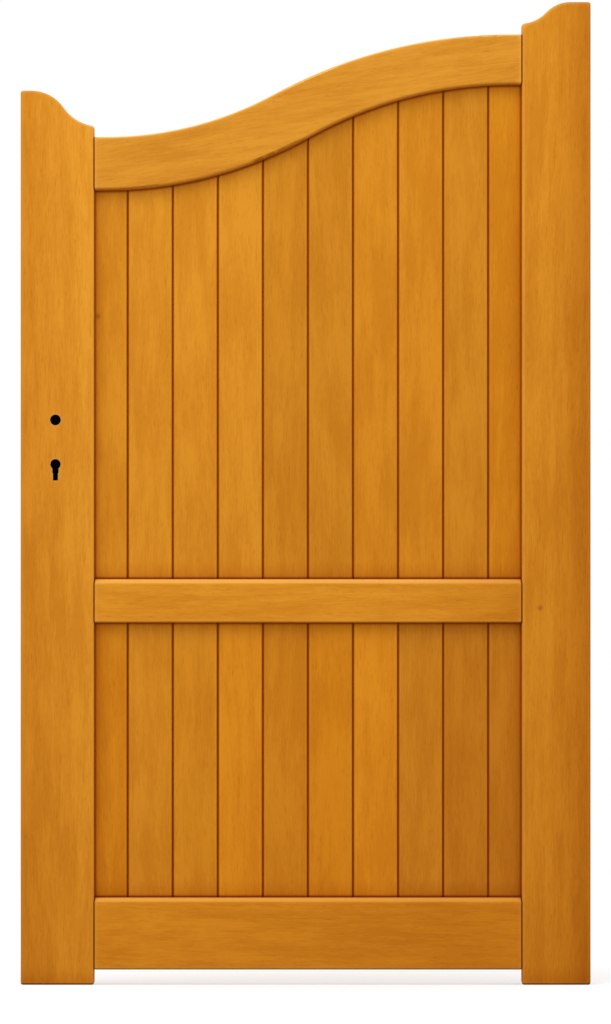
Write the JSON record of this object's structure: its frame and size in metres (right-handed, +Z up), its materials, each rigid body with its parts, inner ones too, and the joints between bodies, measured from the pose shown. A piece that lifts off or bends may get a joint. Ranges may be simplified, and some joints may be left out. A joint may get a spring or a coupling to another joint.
{
  "type": "wooden garden gate leaf",
  "caption": "Framed and boarded timber gate leaf with an S-swept top rail, ogee stile heads, V-jointed boards and a mortise lock let into the free stile, hung by its hinge edge.",
  "frame": {"origin": "on the hinge edge, level with the foot of the stiles and midway through the leaf's thickness", "axes": "+Z up; +X out of the hinge edge, away from the leaf, so the leaf lies towards -X; -Y is the front face that the picture shows"},
  "size_m": [0.9, 0.045, 1.552],
  "materials": {
    "frame_wood": "satin stained",
    "board_wood": "satin stained",
    "zinc_plated_steel": "satin",
    "lock_case_steel": "dull"
  },
  "bodies": {
    "root": {"hinge_stile": "frame_wood", "lock_stile": "frame_wood", "bottom_rail": "frame_wood", "middle_rail": "frame_wood", "top_rail": "frame_wood", "upper_board_1": "board_wood", "upper_board_2": "board_wood", "upper_board_3": "board_wood", "upper_board_4": "board_wood", "upper_board_5": "board_wood", "upper_board_6": "board_wood", "upper_board_7": "board_wood", "upper_board_8": "board_wood", "upper_board_9": "board_wood", "upper_board_10": "board_wood", "lower_board_1": "board_wood", "lower_board_2": "board_wood", "lower_board_3": "board_wood", "lower_board_4": "board_wood", "lower_board_5": "board_wood", "lower_board_6": "board_wood", "lower_board_7": "board_wood", "lower_board_8": "board_wood", "lower_board_9": "board_wood", "lower_board_10": "board_wood", "lock_forend": "zinc_plated_steel", "latch_bolt": "zinc_plated_steel", "dead_bolt": "zinc_plated_steel", "lock_case": "lock_case_steel", "spindle_follower": "lock_case_steel"}
  },
  "joints": []
}
